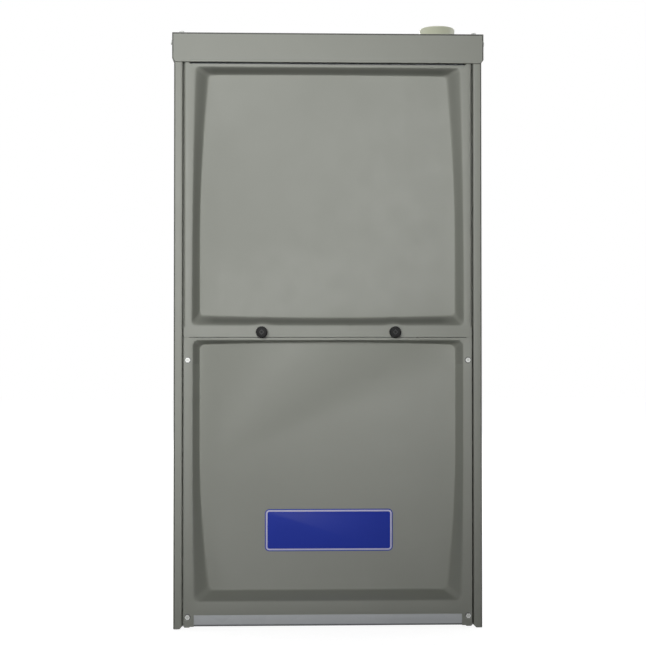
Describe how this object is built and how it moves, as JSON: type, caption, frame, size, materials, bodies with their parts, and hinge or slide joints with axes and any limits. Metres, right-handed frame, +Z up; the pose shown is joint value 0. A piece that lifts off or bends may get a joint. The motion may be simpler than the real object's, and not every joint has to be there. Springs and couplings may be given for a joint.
{
  "type": "forced air gas furnace",
  "caption": "Upright grey sheet-metal gas furnace cabinet with two pressed front doors, knurled knobs, a top cap, a plastic vent stub, and the burner, heat exchanger and blower inside.",
  "frame": {"origin": "on the floor, under the middle of the whole box", "axes": "+Z up, -Y out of the doors, +X to the right seen from the front"},
  "size_m": [0.456, 0.75, 0.922],
  "materials": {
    "aluminised_steel": "heat-tinted aluminised tube",
    "aluminium_fins": "plain aluminium fins",
    "badge_blue": "gloss blue plate, bare",
    "bare_steel": "bare steel",
    "black_pipe": "black iron pipe",
    "black_plastic": "fine-grained black moulding",
    "black_rubber": "black rubber hose",
    "cast_aluminium": "die-cast aluminium",
    "ceramic": "white steatite",
    "circuit_board": "green board with fitted components",
    "cream_pvc": "smooth cream PVC",
    "foil_blanket": "foil-faced glass fibre",
    "galvanised_steel": "bright spangled galvanised sheet",
    "grey_paint": "satin grey baked enamel on sheet steel",
    "knob_black": "knurled black moulding",
    "motor_paint": "black motor enamel",
    "red_rubber": "red silicone hose",
    "white_plastic": "white moulding",
    "white_pvc": "smooth white PVC",
    "zinc_screws": "bright zinc plate"
  },
  "bodies": {
    "cabinet": {"cabinet_wrapper": "grey_paint", "left_door_jamb": "grey_paint", "right_door_jamb": "grey_paint", "top_panel": "grey_paint", "top_front_cap": "grey_paint", "top_header_rail": "galvanised_steel", "middle_rail": "galvanised_steel", "base_rail": "galvanised_steel", "base_pan": "galvanised_steel", "blower_deck": "galvanised_steel", "vestibule_panel": "galvanised_steel", "casing_screws": "zinc_screws", "insulation_blankets": "foil_blanket", "vent_coupling": "cream_pvc", "vent_pipe": "white_pvc", "heat_exchanger_tube_1": "aluminised_steel", "heat_exchanger_tube_2": "aluminised_steel", "heat_exchanger_tube_3": "aluminised_steel", "heat_exchanger_tube_4": "aluminised_steel", "rear_header_box": "galvanised_steel", "secondary_coil": "aluminium_fins", "collector_box": "black_plastic", "condensate_trap": "white_plastic", "drain_hose": "black_rubber", "burner_box": "galvanised_steel", "burner_1": "bare_steel", "burner_2": "bare_steel", "burner_3": "bare_steel", "burner_4": "bare_steel", "gas_manifold": "black_pipe", "gas_valve": "cast_aluminium", "igniter": "ceramic", "flame_sensor": "ceramic", "limit_switches": "black_plastic", "inducer_housing": "black_plastic", "inducer_motor": "motor_paint", "pressure_switch": "black_plastic", "pressure_hose": "red_rubber", "blower_rails": "galvanised_steel", "blower_housing": "galvanised_steel", "blower_motor": "motor_paint", "motor_mount": "bare_steel", "run_capacitor": "cast_aluminium", "control_panel": "galvanised_steel", "control_board": "circuit_board", "transformer": "motor_paint", "door_switch": "black_plastic", "junction_box": "galvanised_steel"},
    "upper_door": {"upper_door": "grey_paint", "upper_door_insulation": "foil_blanket"},
    "thumb_screw_left": {"thumb_screw_left": "knob_black"},
    "thumb_screw_right": {"thumb_screw_right": "knob_black"},
    "lower_door": {"lower_door": "grey_paint", "lower_door_screws": "zinc_screws", "badge_plate": "badge_blue"},
    "blower_wheel": {"blower_wheel": "bare_steel", "blower_shaft": "bare_steel"},
    "inducer_wheel": {"inducer_wheel": "bare_steel"},
    "gas_valve_knob": {"gas_valve_knob": "knob_black"},
    "door_switch_plunger": {"door_switch_plunger": "white_plastic"}
  },
  "joints": [
    {"name": "upper_door_slide", "type": "slide", "parent": "cabinet", "child": "upper_door", "axis": [0, -1, 0], "range_m": [0, 0.25]},
    {"name": "lower_door_slide", "type": "slide", "parent": "cabinet", "child": "lower_door", "axis": [0, -1, 0], "range_m": [0, 0.25]},
    {"name": "left_knob_turn", "type": "hinge", "parent": "upper_door", "child": "thumb_screw_left", "pos_m": [-0.096, -0.367, 0.426], "axis": [0, -1, 0], "continuous": true},
    {"name": "right_knob_turn", "type": "hinge", "parent": "upper_door", "child": "thumb_screw_right", "pos_m": [0.096, -0.367, 0.426], "axis": [0, -1, 0], "continuous": true},
    {"name": "blower_spin", "type": "hinge", "parent": "cabinet", "child": "blower_wheel", "pos_m": [0, 0.134, 0.215], "axis": [1, 0, 0], "continuous": true},
    {"name": "inducer_spin", "type": "hinge", "parent": "cabinet", "child": "inducer_wheel", "pos_m": [0.112, -0.12, 0.525], "axis": [0, 1, 0], "continuous": true},
    {"name": "gas_knob_turn", "type": "hinge", "parent": "cabinet", "child": "gas_valve_knob", "pos_m": [-0.157, -0.292, 0.654], "axis": [0, -1, 0], "range_deg": [0, 90]},
    {"name": "door_switch_press", "type": "slide", "parent": "cabinet", "child": "door_switch_plunger", "axis": [0, 1, 0], "range_m": [0, 0.0025], "stiffness_N_per_m": 400}
  ]
}
